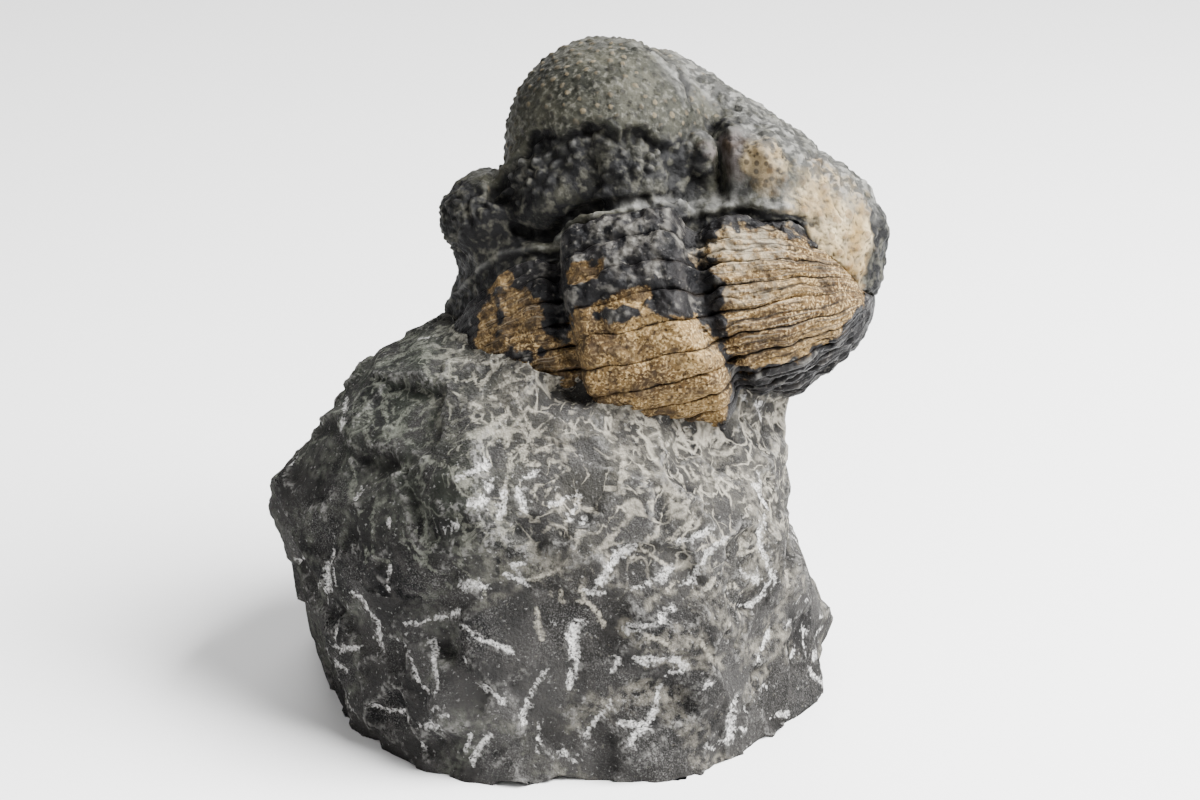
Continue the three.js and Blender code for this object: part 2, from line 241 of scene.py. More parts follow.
# Chips struck off all over it leave facets with ragged edges, each leaning its own way, and some of them fresher
facing = outward(points, faces)
ragged = points + 1.2 * np.stack([rough(points, 4, 3, shift) for shift in (51, 52, 53)], -1)
fresh = np.zeros(len(points))
for chips, tilt, depth in [(150, 0.24, 1.5), (420, 0.22, 0.7)]:
    middles = chance.choice(len(points), chips)
    tree = KDTree(chips)
    for chip, middle in enumerate(points[middles].tolist()):
        tree.insert(middle, chip)
    tree.balance()
    own = np.array([tree.find(place)[1] for place in ragged.tolist()])
    lean = facing[middles] + tilt * chance.normal(size=(chips, 3))
    lean /= np.linalg.norm(lean, axis=1)[:, None]
    height = np.sum((points - points[middles][own]) * lean[own], axis=1)
    points = points - 0.8 * np.clip(height, -depth, depth)[:, None] * lean[own]
    fresh += 0.5 * (chance.uniform(0, 1, chips) ** 2)[own]
foot = points[:, 2] < 0.3
points = np.where(foot[:, None], points, relax(points, faces, 1))
facing = outward(points, faces)
points += facing * (0.12 * rough(points, 4, 3) + 0.07 * rough(points, 1.3, 3, 9))[:, None]
points[:, 2] = np.where(foot, 0, np.maximum(points[:, 2], 0))

# Strokes of the chisel on the front, as lines across (x) and up (z) in millimetres
STROKES = [
    [(-13, 43), (-9, 44)], [(-11, 39), (-8, 41)], [(-7, 38), (-6, 41)], [(-4, 41), (-3, 38)],
    [(-4, 42), (-2, 43)], [(-16, 35), (-13, 36)], [(0, 39), (4, 39)], [(3, 37), (5, 39)],
    [(6, 29), (8, 33), (11, 34)], [(11, 28), (14, 29), (16, 30)], [(19, 28), (20, 31), (22, 33), (25, 33)],
    [(26, 26), (28, 25)], [(27, 21), (30, 23)], [(11, 22), (13, 23), (17, 24)], [(-10, 21), (-8, 21), (-5, 20)],
    [(3, 23), (3, 19), (2, 14)], [(12, 18), (15, 18), (18, 17)], [(16, 15), (17, 16)], [(21, 14), (22, 14)],
    [(-4, 8), (-3, 12), (-1, 16)], [(4, 6), (6, 9), (8, 12)], [(11, 6), (14, 10), (15, 13)],
    [(24, 3), (25, 7), (26, 10)], [(-2, 8), (-2, 5)], [(-10, 15), (-7, 13)], [(-7, 31), (-4, 29)],
    [(-5, 32), (-4, 30)], [(-13, 29), (-9, 29)], [(-20, 21), (-16, 22), (-13, 24)],
    [(-28, 22), (-25, 20), (-24, 15)], [(-31, 28), (-32, 25), (-32, 21)], [(-23, 29), (-22, 25)],
    [(-16, 19), (-16, 16), (-16, 13)], [(-20, 16), (-19, 14)], [(-32, 13), (-28, 15)], [(-33, 9), (-30, 10)],
    [(-30, 6), (-28, 3)], [(-26, 6), (-23, 7), (-21, 7)], [(-19, 7), (-16, 8)], [(-12, 5), (-11, 8)],
    [(-11, 3), (-9, 7)], [(1, 5), (3, 3)], [(9, 9), (12, 8)], [(29, 12), (30, 15)], [(30, 3), (33, 2)],
    [(17, 34), (21, 35)], [(29, 32), (31, 22)], [(28, 37), (30, 33)],
]
facing = outward(points, faces)
wander = points + 1.1 * np.stack([rough(points, 6, 3, shift) for shift in (5, 6, 7)], -1)
swell = np.maximum(1.25 + 0.9 * rough(points, 1.7, 2, 30), 0.7)
bruise = np.zeros(len(points))
for line in STROKES:
    away, passed = near_line(wander[:, [0, 2]], line)
    taper = 1 + chance.uniform(0.4, 2.2) * np.abs(passed - chance.integers(2))
    stroke = 1 - 0.5 * away * swell * taper / chance.uniform(0.34, 0.66)
    bruise = np.maximum(bruise, stroke * (facing[:, 1] < -0.1))


def scatter_strokes(where, count, half_length, half_width, upright):
    """Random strokes that lie on the surface, from 1 along their middles to a half at their edges."""
    field = np.zeros(len(points))
    for at in chance.choice(np.flatnonzero(where), count):
        along = np.cross(facing[at], chance.normal(size=3) + upright)
        along *= chance.uniform(*half_length) / np.linalg.norm(along)
        away = wander - wander[at]
        share = np.clip(away @ along / (along @ along), -1, 1)
        reach = np.linalg.norm(away - share[:, None] * along, axis=1) * swell
        field = np.maximum(field, 1 - 0.5 * reach / chance.uniform(*half_width))
    return field


x, y, z = points.T
hidden = (y > -12) & (z > 1)
bruise = np.maximum(bruise, scatter_strokes(hidden, 110, (1.0, 4.5), (0.22, 0.5), (0, 0, 0.8)))
bruise = np.maximum(bruise, scatter_strokes((y < -8) & (z > 1) & (z < 38), 45, (0.5, 1.8), (0.2, 0.36), (0.5, 0, 1.0)))
points -= facing * (0.3 * smooth_step(0.3, 0.9, bruise) * (z > 0.3))[:, None]

# Long pale scrapes cross each other where the fossil was dug out, greener on the left and creamier on the right
dug = smooth_step(24, 46, z + 0.2 * x - 0.1 * y)
pale = smooth_step(-16, 8, x + 0.25 * (z - 20) + 5 * rough(points, 16, 2, 60))
scrape = np.zeros(len(points))
for where, count, half_length, half_width, upright in [
    ((dug > 0.25) & (x < -2), 80, (2.5, 8), (0.3, 0.5), (1.3, 0, -1.3)),
    ((dug > 0.3) & (x < 0), 45, (1.5, 5), (0.28, 0.45), (0.3, 0, 0.3)),
    ((dug > 0.45) & (x > -4), 80, (2.5, 8), (0.3, 0.5), (0.3, 0.2, 1.6)),
    ((dug > 0.45) & (x > -4), 40, (1.5, 5), (0.28, 0.45), (0.4, 0, 0.2)),
    ((z > 32) & (x > 14), 45, (2, 6), (0.26, 0.4), (1.6, 0, 0.3)),
    ((dug > 0.02) & (dug < 0.5), 60, (1.5, 4), (0.26, 0.4), (0.6, 0, 1)),
]:
    scrape = np.maximum(scrape, scatter_strokes(where, count, half_length, half_width, upright))
smear = scatter_strokes(z > 1, 260, (1.5, 6), (0.7, 1.8), (0.5, 0, 0.7))

# Pale crushed stone is left along the ridges, partly a painted highlight, and painted shade darkens the hollows
ridge = smooth_step(0.03, 0.13, -hollowness(points, faces, 3))
hollow = smooth_step(0.1, 0.55, hollowness(points, faces, 14))
stone = make_piece(
    "limestone_block", points, faces, bruise=bruise, ridge=ridge, dug=dug, scrape=scrape, smear=smear, pale=pale,
    fresh=fresh, hollow=hollow,
)

# Its flat foot is one face
shape = bmesh.new()
shape.from_mesh(stone.data)
underside = [face for face in shape.faces if max(corner.co.z for corner in face.verts) < 1e-6]
bmesh.ops.dissolve_faces(shape, faces=underside)
shape.to_mesh(stone.data)
shape.free()
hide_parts("matrix_block")

limestone, shader = finish("dark_limestone", 0.9, 0.06)
place = node(limestone, "ShaderNodeTexCoord").outputs["Object"]


def share_of(material, name):
    return node(material, "ShaderNodeAttribute", attribute_name=name).outputs["Fac"]


def mixed(material, share, under, over):
    return node(material, "ShaderNodeMix", {0: share, 6: under, 7: over}, data_type="RGBA").outputs[2]


def graded(material, value, low, high):
    """From 0 where a value is low to 1 where it is high."""
    return node(material, "ShaderNodeMapRange", {"Value": value, "From Min": low, "From Max": high}).outputs["Result"]


def grained(material, place, scale, detail, low, high, skew=0.0):
    """Noise at a scale in features a metre, from 0 where it is low to 1 where it is high."""
    sockets = {"Vector": place, "Scale": scale, "Detail": detail, "Distortion": skew}
    return graded(material, node(material, "ShaderNodeTexNoise", sockets).outputs["Fac"], low, high)


def times(material, first, second):
    return node(material, "ShaderNodeMath", {0: first, 1: second}, operation="MULTIPLY").outputs["Value"]


def torn(material, share, place, scale, spread, soft=0.08):
    """A share cut off at its half, with an edge that noise tears at a scale in features a metre."""
    grain = grained(material, place, scale, 4, 0.3, 0.7)
    ragged = node(material, "ShaderNodeMath", {0: grain, 1: spread, 2: share}, operation="MULTIPLY_ADD").outputs["Value"]
    return graded(material, ragged, 0.5 + spread / 2 - soft, 0.5 + spread / 2 + soft)


def roughened(material, shader, place, scale, strength, distance):
    height = node(material, "ShaderNodeTexNoise", {"Vector": place, "Scale": scale, "Detail": 6, "Roughness": 0.6}).outputs["Fac"]
    bump = node(material, "ShaderNodeBump", {"Height": height, "Strength": strength, "Distance": distance})
    material.node_tree.links.new(bump.outputs["Normal"], shader.inputs["Normal"])


tone = mixed(limestone, grained(limestone, place, 90, 5, 0.38, 0.62), (0.0035, 0.0038, 0.0044, 1), (0.010, 0.0095, 0.009, 1))
pale = share_of(limestone, "pale")
worn = times(limestone, pale, grained(limestone, place, 120, 5, 0.25, 0.6))
tone = mixed(limestone, times(limestone, worn, 0.4), tone, (0.027, 0.0255, 0.024, 1))
tone = mixed(limestone, times(limestone, share_of(limestone, "fresh"), 0.9), tone, (0.056, 0.054, 0.052, 1))
tone = mixed(limestone, grained(limestone, place, 520, 5, 0.50, 0.80), tone, (0.040, 0.038, 0.036, 1))
speckled = times(limestone, grained(limestone, place, 4300, 4, 0.49, 0.66), grained(limestone, place, 150, 3, 0.38, 0.64))
tone = mixed(limestone, times(limestone, speckled, 0.75), tone, (0.105, 0.102, 0.098, 1))
dug = share_of(limestone, "dug")
dug_up = mixed(limestone, pale, (0.022, 0.025, 0.020, 1), (0.046, 0.044, 0.039, 1))
tone = mixed(limestone, times(limestone, dug, grained(limestone, place, 260, 6, 0.38, 0.68)), tone, dug_up)
chalk = mixed(limestone, pale, (0.13, 0.135, 0.112, 1), (0.33, 0.305, 0.25, 1))


def veins(material, place, scale, width):
    """Thin wandering lines, broken here and there, at a scale in loops a metre."""
    sockets = {"Vector": place, "Scale": scale, "Detail": 4, "Roughness": 0.45, "Distortion": 0.6}
    value = node(material, "ShaderNodeTexNoise", sockets).outputs["Fac"]
    middle = node(material, "ShaderNodeMath", {0: value, 1: 0.5}, operation="SUBTRACT").outputs["Value"]
    away = node(material, "ShaderNodeMath", {0: middle}, operation="ABSOLUTE").outputs["Value"]
    return times(material, graded(material, away, width, 0.1 * width), grained(material, place, 2.4 * scale, 4, 0.46, 0.58))


# Painted shade darkens the hollows of the stone
tone = mixed(limestone, times(limestone, share_of(limestone, "hollow"), 0.75), tone, (0.006, 0.006, 0.0065, 1))
near_fossil = graded(limestone, dug, 0.25, 0.95)
for scale, width in ((95, 0.022), (150, 0.026), (210, 0.026)):
    veined = times(limestone, veins(limestone, place, scale, width), near_fossil)
    tone = mixed(limestone, times(limestone, veined, 0.85), tone, chalk)
smeared = times(limestone, graded(limestone, share_of(limestone, "smear"), 0.1, 0.9), grained(limestone, place, 900, 5, 0.4, 0.7))
tone = mixed(limestone, times(limestone, smeared, 0.55), tone, chalk)
scraped = torn(limestone, share_of(limestone, "scrape"), place, 1500, 0.7, 0.25)
scraped = times(limestone, scraped, grained(limestone, place, 2600, 3, 0.3, 0.55))
tone = mixed(limestone, times(limestone, scraped, 0.85), tone, chalk)
# Pale crushed stone and painted highlight along the ridges
ridges = times(limestone, share_of(limestone, "ridge"), grained(limestone, place, 1500, 3, 0.42, 0.6))
tone = mixed(limestone, times(limestone, ridges, 0.8), tone, (0.16, 0.156, 0.148, 1))
crushed = torn(limestone, share_of(limestone, "bruise"), place, 1600, 0.75, 0.26)
crushed = times(limestone, crushed, grained(limestone, place, 3000, 4, 0.33, 0.58))
tone = mixed(limestone, crushed, tone, (0.58, 0.57, 0.55, 1))
limestone.node_tree.links.new(tone, shader.inputs["Base Color"])
roughened(limestone, shader, place, 1900, 1.0, 0.0007)
stone.data.materials.append(limestone)

# The eleven body plates
# Each was a shell of calcite that hinged on the next. The shell has flaked off most of them and left tan
# granular casts, with painted shade in the furrows between, and black shell over the plates behind the head.
BODY_HALF_WIDTH = 31.5
BACK_RADIUS = 22.2
BELLY_RADIUS = 11.6
FRONT_RADIUS = 16
AXIS_RISE = 3.6
AXIS_HALF_WIDTH = 9.8
SEGMENT_LENGTH = 4.4
PLATE_GAP = 0.05
HEAD_BACK = 43
HEAD_FRONT = 168
CORNER_SLANT = math.radians(33)
CORNER_REACH = (28, 26)
ROLL = Matrix.Rotation(math.radians(-20), 3, "X") @ Matrix.Rotation(math.radians(-12), 3, "Y")
ROLL = np.array(ROLL @ Matrix.Rotation(math.radians(-7), 3, "Z"))
SEAT = np.array([15.2, 2, 51.8])


def seated(points):
    """From the trilobite's own frame, rolled round its x axis, to where it sits on the block, a little crooked."""
    crooked = np.stack([rough(points, 7, 3, shift) for shift in (61, 62, 63)], -1)
    return (points + (0.3 + 0.3 * smooth_step(18, 9, points[:, 2:])) * crooked) @ ROLL.T + SEAT


def hump(distance, width):
    return np.exp(-((distance / width) ** 2))


def rib_radius(angle, x):
    a = np.radians(angle)
    back = np.where(np.cos(a) > 0, BACK_RADIUS, FRONT_RADIUS)
    upright = np.where(np.sin(a) < 0, BELLY_RADIUS, BACK_RADIUS)
    across = np.minimum(np.abs(x) / BODY_HALF_WIDTH, 1)
    return np.sqrt(1 - across**2.7) / np.hypot(np.cos(a) / back, np.sin(a) / upright)


def axis_half_width(angle, x):
    return AXIS_HALF_WIDTH - np.where(x > 0, 2.2 * smooth_step(-14, 0, angle) * smooth_step(60, 26, angle), 0)


def lobe_share(angle):
    return smooth_step(-178, -130, np.where(angle > 90, angle - 360, angle))


def lobe_rise(angle, x):
    half = axis_half_width(angle, x)
    lobe = np.sqrt(np.maximum(0, 1 - (x / half) ** 4))
    furrow = 1.8 * hump(np.abs(x) - AXIS_HALF_WIDTH - 0.8 + 0.6 * (AXIS_HALF_WIDTH - half), 1.5)
    return (AXIS_RISE * lobe - furrow) * lobe_share(angle)


def axis_share(angle, x):
    return 1 / (1 + np.exp((np.abs(x) - axis_half_width(angle, x)) / 0.6))


def swayed(angle, share, x):
    """A share of a plate's length, shifted so that the furrows on its ribs wander."""
    sway = 0.06 * np.sin(0.5 * x + 0.4 * angle) + 0.03 * np.sin(1.1 * x + 0.9 * angle)
    return share + 4 * share * (1 - share) * sway


def segment_face(angle, share, x):
    """Its outer face: a ring with a knob at each end on the axis, and a rib of two bands on each side."""
    out = np.abs(x)
    place = swayed(angle, share, x)
    knob = hump(out - 0.84 * axis_half_width(angle, x), 2.2) * np.where(x > 0, 1.35, 0.5)
    ring = (0.3 + 0.75 * knob) * (1 - np.abs(2 * share - 1) ** 4) - (0.25 + 0.28 * knob) * share
    bands = 0.55 * np.abs(np.sin(2 * np.pi * place)) ** 0.6 * (1 + 0.35 * np.sin(0.7 * x + 0.7 * angle))
    bands = bands * np.where(x > 0, 1.0, 0.6) - 0.35 - 0.25 * share
    pit = 1.3 * hump(out - AXIS_HALF_WIDTH - 1, 1.4) * (2 * share - 1) ** 4
    fade = np.maximum(0, 1 - (out / BODY_HALF_WIDTH) ** 6)
    on_axis = axis_share(angle, x)
    return rib_radius(angle, x) + lobe_rise(angle, x) + on_axis * ring + (1 - on_axis) * bands * fade - pit


def segment_groove(angle, share, x):
    """From 0 to 1 in the furrows: one between two plates' rings, and two on each plate's ribs."""
    on_axis = axis_share(angle, x)
    place = swayed(angle, share, x)
    ends = 0.12 + 0.45 * np.sin(0.35 * x + 0.3 * angle) + 0.5 * hump(x - 0.85 * axis_half_width(angle, x), 2.6)
    ribs = 1 - np.abs(np.sin(2 * np.pi * place)) ** 0.55
    ribs *= (0.72 + 0.28 * np.sin(0.45 * angle + 0.15 * x)) * np.where(x > 0, 1.0, 0.4) * smooth_step(30, 26, np.abs(x))
    return on_axis * ends * np.abs(2 * share - 1) ** 5 + (1 - on_axis) * ribs


def rolled_plate(rear, front, rows, columns, face):
    """A closed plate between two angles: its outer face as a fine grid, its two edges, and its inner face."""
    middle = math.radians((rear + front) / 2)
    shift = PLATE_GAP / 2 / math.sin(math.radians(front - rear) / 2)
    share = np.linspace(0, 1, rows + 1)[:, None]
    angle = front + (rear - front) * share
    a = np.radians(angle)

    def at(x):
        radius = np.maximum(face(angle, share, x) - shift, 0.4)
        y = -radius * np.cos(a) - shift * math.cos(middle)
        z = radius * np.sin(a) + shift * math.sin(middle)
        return np.stack(np.broadcast_arrays(x, y, z), -1)

    ends = []
    for side, reach in zip((-1, 1), CORNER_REACH):
        low, high = np.full_like(angle, 5.0), np.full_like(angle, BODY_HALF_WIDTH - 0.08)
        for _ in range(18):
            x = (low + high) / 2
            past = x * math.cos(CORNER_SLANT) + at(side * x)[..., 2] * math.sin(CORNER_SLANT) > reach - PLATE_GAP
            low, high = np.where(past, low, x), np.where(past, x, high)
        ends.append(side * low)
    across = np.linspace(-1, 1, columns + 1)[None, :]
    across = 0.35 * np.sin(across * np.pi / 2) + 0.65 * across
    x = np.where(across < 0, -across * ends[0], across * ends[1])
    grid = at(x)
    points = np.concatenate([grid, grid[[-1, 0]] * (1, 0.45, 0.45)]).reshape(-1, 3)
    width = columns + 1
    around = np.arange(rows + 3)
    a0 = (around[:, None] * width + np.arange(columns)).ravel()
    b0 = (np.roll(around, -1)[:, None] * width + np.arange(columns)).ravel()
    faces = [np.stack([a0, b0, b0 + 1], -1), np.stack([a0, b0 + 1, a0 + 1], -1)]
    for column, turned in ((0, False), (columns, True)):
        rim = around * width + column
        hub = np.full(len(rim), len(points))
        points = np.concatenate([points, points[rim].mean(0, keepdims=True)])
        fan = np.stack([hub, np.roll(rim, -1), rim], -1)
        faces.append(fan[:, ::-1] if turned else fan)
    extra = len(points) - grid[..., 0].size
    shares = [np.pad(np.broadcast_to(value, grid.shape[:2]).ravel(), (0, extra)) for value in (angle, share, x)]
    return points, np.concatenate(faces), shares


def patch(points, ragged, centre, radii):
    """From 1 well inside a ragged oval patch to 0 well outside it, and a half at its edge."""
    away = np.linalg.norm((points - centre) / np.array(radii, float), axis=1)
    return np.clip(0.5 + (1 - away) * min(radii) / 2.5 + ragged, 0, 1)


def casts(points, ragged):
    """Where the tan casts show: the lower rings, the ribs on the right, and patches on the left ones."""
    tan = np.zeros(len(points))
    for centre, radii in [
        ((-0.5, -20, -7), (10.5, 16, 11)),
        ((-7, -22, 1.2), (3.6, 6, 4.8)),
        ((5.5, -22, -1), (4.5, 8, 3.6)),
        ((21, -12, -1), (12, 16, 9.5)),
        ((19, -18, 6.6), (9.5, 8, 4.6)),
        ((17, -17, 9.5), (7.4, 8, 2.8)),
        ((-19, -14, 12.4), (3.4, 4, 1.0)),
        ((-18, -17, 6), (6.2, 8, 5.0)),
        ((-14.5, -20, 1.5), (9, 9, 5)),
        ((-9, -23, -3.5), (6, 8, 3.5)),
        ((-6, -23, 10.9), (2.6, 3, 1.3)),
        ((-1.2, -25.4, 6.0), (3.4, 3, 1.1)),
    ]:
        tan = np.maximum(tan, patch(points, ragged, centre, radii))
    for centre, radii in [
        ((-26.3, -11, 7.6), (3.8, 8, 4.4)),
        ((-19.6, -17.5, 7.4), (0.9, 4, 3.0)),
        ((-18, -19.5, 1.9), (3.4, 4, 0.7)),
        ((9.8, -21, 4.5), (2.0, 8, 6.5)),
        ((-11.2, -20, 7.4), (1.7, 8, 5.0)),
    ]:
        tan = np.minimum(tan, 1 - patch(points, ragged, centre, radii))
    x, z = points[:, 0], points[:, 2]
    edge = np.interp(x, (10, 14.4, 18.6, 21.8, 24.3, 26.2, 27.6, 30, 31), (-9, -6.7, -6.5, -6, -5.1, -3.7, -2.1, -0.8, 2))
    return np.where(x > 10, np.minimum(tan, np.clip(0.5 + (z - edge) / 2.5 + ragged, 0, 1)), tan)


def add_plate(name, node_name, slot, rear, front, rows, columns, face, groove):
    points, faces, (angle, share, x) = rolled_plate(rear, front, rows, columns, face)
    outside = (rows + 1) * (columns + 1)
    ragged = 0.3 * rough(points, 3, 3)
    tan = casts(points, ragged)
    shell = 1 - smooth_step(0.4, 0.6, tan)
    facing = points * (0, 1, 1)
    facing /= np.maximum(np.linalg.norm(facing, axis=1), 1e-6)[:, None]
    on_axis = axis_share(angle, x)
    ring = on_axis * (1 - np.abs(2 * share - 1) ** 3)
    uneven = np.where(x < -12, 0.3, 1.0)
    lift = 0.5 * rough(points, 4, 3, 8) + 0.28 * rough(points, 1.5, 3, 4) + 0.12 * rough(points, 0.7, 2, 19)
    lift += shell * uneven * (0.5 * rough(points, 3.6, 4, 12) + 0.2 * np.abs(rough(points, 1.8, 2, 15)))
    lift += shell * (0.25 + 0.35 * ring)
    left_end = smooth_step(-20.5, -23, x)
    lift *= 1 - 0.75 * left_end
    lift[outside:] = 0
    points = points + facing * lift[:, None]
    # Stains at random, with painted shade darkening the left side of the body
    stain = 0.5 + 1.2 * rough(points, 5, 3, 40) + 0.36 * smooth_step(5, -6, x) + 0.3 * smooth_step(-8, -12, x)
    dusty = 0.5 * patch(points, ragged, (3, -22, 13.5), (8, 6, 3.4))
    # Dust on the high spots of the shell, partly a painted highlight on them
    high = smooth_step(0.1, 0.6, lift - 0.5 + 0.9 * rough(points, 2.6, 4, 27) + dusty) * shell * (1 - 0.8 * left_end)
    chalk = patch(points, ragged, (15, -19, 10.2), (8, 7, 3.0))
    chalk = np.maximum(chalk, patch(points, ragged, (15.8, -20.4, 2.9), (2.6, 3, 0.7)))
    piece = make_piece(
        name, seated(points), faces, cast=tan, furrow=groove(angle, share, x), stain=stain, high=high, chalk=chalk,
        across=x, around=angle, ribbed=(1 - on_axis) * np.where(x > 0, 1.0, 0.6),
    )
    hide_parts(node_name)
    return piece


calcite, shader = finish("flaked_calcite", 0.7, 0.11)
place = node(calcite, "ShaderNodeTexCoord").outputs["Object"]
cast_tone = mixed(calcite, grained(calcite, place, 150, 5, 0.35, 0.65), (0.055, 0.031, 0.012, 1), (0.18, 0.115, 0.047, 1))
# Fine bright grains on the casts are painted glints
cast_tone = mixed(calcite, times(calcite, grained(calcite, place, 2600, 3, 0.50, 0.60), 0.8), cast_tone, (0.37, 0.26, 0.125, 1))
cast_tone = mixed(calcite, times(calcite, grained(calcite, place, 1900, 3, 0.54, 0.64), 0.85), cast_tone, (0.022, 0.014, 0.008, 1))
# Stains and painted shade on the left side darken the casts
stained = times(calcite, graded(calcite, share_of(calcite, "stain"), 0.55, 0.9), grained(calcite, place, 700, 4, 0.3, 0.6))
cast_tone = mixed(calcite, times(calcite, stained, 0.85), cast_tone, (0.030, 0.020, 0.012, 1))
chalky = times(calcite, share_of(calcite, "chalk"), grained(calcite, place, 900, 4, 0.35, 0.6))
cast_tone = mixed(calcite, times(calcite, chalky, 0.6), cast_tone, (0.33, 0.29, 0.215, 1))
along_ribs = node(calcite, "ShaderNodeCombineXYZ", {
    "X": times(calcite, share_of(calcite, "across"), 0.10), "Y": times(calcite, share_of(calcite, "around"), 0.8)
}).outputs["Vector"]
ribbed = share_of(calcite, "ribbed")
pale_lines = times(calcite, grained(calcite, along_ribs, 1.7, 4, 0.56, 0.68), ribbed)
cast_tone = mixed(calcite, times(calcite, pale_lines, 0.5), cast_tone, (0.30, 0.26, 0.20, 1))
dark_lines = times(calcite, grained(calcite, along_ribs, 1.1, 5, 0.52, 0.64), ribbed)
cast_tone = mixed(calcite, times(calcite, dark_lines, 0.85), cast_tone, (0.024, 0.019, 0.014, 1))
shell_tone = mixed(calcite, grained(calcite, place, 300, 5, 0.4, 0.65), (0.0025, 0.0025, 0.003, 1), (0.017, 0.016, 0.016, 1))
# Dust and painted highlight on the high spots of the shell
shell_tone = mixed(calcite, times(calcite, share_of(calcite, "high"), grained(calcite, place, 600, 5, 0.42, 0.64)), shell_tone, (0.095, 0.090, 0.080, 1))
shell_tone = mixed(calcite, grained(calcite, place, 1300, 4, 0.62, 0.76), shell_tone, (0.13, 0.123, 0.108, 1))
bare = torn(calcite, share_of(calcite, "cast"), place, 500, 0.5)
plate_tone = mixed(calcite, bare, shell_tone, cast_tone)
# Painted shade darkens the furrows between the plates and along the ribs
furrow_shade = torn(calcite, share_of(calcite, "furrow"), place, 600, 0.7, 0.15)
plate_tone = mixed(calcite, times(calcite, furrow_shade, 0.8), plate_tone, (0.011, 0.0085, 0.0065, 1))
calcite.node_tree.links.new(plate_tone, shader.inputs["Base Color"])
gloss = node(calcite, "ShaderNodeMapRange", {"Value": bare, "To Min": 0.42, "To Max": 0.85}).outputs["Result"]
calcite.node_tree.links.new(gloss, shader.inputs["Roughness"])
roughened(calcite, shader, place, 1300, 0.9, 0.0005)

edge = HEAD_BACK
for number in range(1, 12):
    rear = edge - math.degrees(SEGMENT_LENGTH / (float(rib_radius(edge, 0)) + AXIS_RISE))
    rows, columns = (24, 300) if number <= 8 else (10, 160)
    names = f"body_plate_{number:02d}", f"thorax_segment_{number:02d}"
    plate = add_plate(*names, "rib_calcite", rear, edge, rows, columns, segment_face, segment_groove)
    plate.data.materials.append(calcite)
    edge = rear

# The tail shield
# One plate, ribbed like the body plates but shallower, that curls round below the front of the head. Only
# its right end shows past the block, as dark shell.
TAIL_RINGS = 7


def tail_face(angle, share, x):
    across = np.maximum(0, 1 - (x / BODY_HALF_WIDTH) ** 2)
    ripple = 0.5 * np.cos(2 * np.pi * TAIL_RINGS * share) * across
    return rib_radius(angle, x) + lobe_rise(angle, x) + ripple * lobe_share(angle)


def tail_groove(angle, share, x):
    return 0.5 - 0.5 * np.cos(2 * np.pi * TAIL_RINGS * share)


tail = add_plate(
    "tail_shield", "pygidium", "tail_shell", HEAD_FRONT - 360, edge, 110, 260, tail_face, tail_groove
)
tail.data.materials.append(calcite)

# The head shield
# One plate: a swollen glabella with pustules all over it, an eye of stacked lenses on each side, cheeks that
# close over the ends of the body plates, and a raised border along the back edge.
GLABELLA_MIDDLE, GLABELLA_RADII = (-0.9, -2, 29.1), (15.2, 16, 15.2)
LEFT_LOBE_MIDDLE, LEFT_LOBE_RADII = (-9.4, -7.4, 24.4), (8.4, 9.8, 8.0)
HEAD_GRAIN = 0.34
HEAD_LOW, HEAD_HIGH = (-34, -21, -1), (37, 21, 46)


def oval(p, centre, radii):
    """Distance to an ellipsoid, less than 0 inside it."""
    q = p - np.array(centre, float)
    near = np.linalg.norm(q / radii, axis=-1)
    slope = np.linalg.norm(q / np.square(radii), axis=-1)
    return near * (near - 1) / np.maximum(slope, 1e-6)


def head_form(p):
    form = joined(oval(p, (17, 1.5, 11.5), (18.5, 15.5, 18)), oval(p, (-13.5, 1, 10.5), (14, 16, 15.5)), 4)
    form = joined(form, oval(p, (0, 0, 6), (25, 16, 18)), 4)
    form = joined(form, oval(p, (-24, 0, 5), (7.5, 10, 8)), 4)
    form = joined(form, oval(p, (9, 5, 23), (24, 12, 19)), 3)
    form = joined(form, oval(p, (20.5, -5, 20), (8, 9, 8)), 3)
    form = joined(form, oval(p, (-0.5, -14, 16.8), (10, 5, 3.4)), 1.5)
    form = joined(form, oval(p, (17.0, -7, 22.4), (2.8, 7.0, 5.2)), 2.5)
    form = joined(form, oval(p, (21, -8, 21), (4.2, 7.2, 4.8)), 1.6)
    form = joined(form, oval(p, (-19.6, -5, 22.4), (7.0, 9.0, 6.6)), 3)
    slope = 0.737 * p[..., 0] + 0.676 * p[..., 2] + 0.008 * p[..., 1] ** 2 - 35.6
    form = -joined(-form, -slope, 4)
    form = joined(form, oval(p, GLABELLA_MIDDLE, GLABELLA_RADII), 1.2)
    form = joined(form, oval(p, LEFT_LOBE_MIDDLE, LEFT_LOBE_RADII), 1.2)
    form = joined(form, oval(p, (1.5, -10, 23), (9, 9, 7.5)), 1.2)
    for centre, radii in [
        ((15.0, -14.0, 28.2), (2.0, 4, 2.0)),
        ((14.0, -14.5, 22.0), (1.1, 4.5, 5.0)),
        ((9.8, -17.5, 22.0), (2.4, 4, 4.8)),
        ((-9.5, -17.6, 17.2), (5.5, 2.0, 1.1)),
    ]:
        form = -joined(-form, oval(p, centre, radii), 1.2)
    form = joined(form, oval(p, (12.0, -10.6, 23.8), (2.3, 3.0, 3.3)), 1.0)
    back, front = math.radians(HEAD_BACK + 0.4), math.radians(HEAD_FRONT - 0.4)
    region = np.maximum(
        -p[..., 1] * math.sin(back) - p[..., 2] * math.cos(back),
        p[..., 1] * math.sin(front) + p[..., 2] * math.cos(front),
    )
    overlap = 0.25 + 0.3 * np.sin(1.3 * p[..., 1] + 0.9 * p[..., 0]) + 0.2 * np.sin(2.9 * p[..., 1] - 1.1 * p[..., 0])
    for side, reach in zip((-1, 1), CORNER_REACH):
        corner = reach - side * p[..., 0] * math.cos(CORNER_SLANT) - p[..., 2] * math.sin(CORNER_SLANT)
        region = np.minimum(region, corner - overlap)
    return np.maximum(form, region)


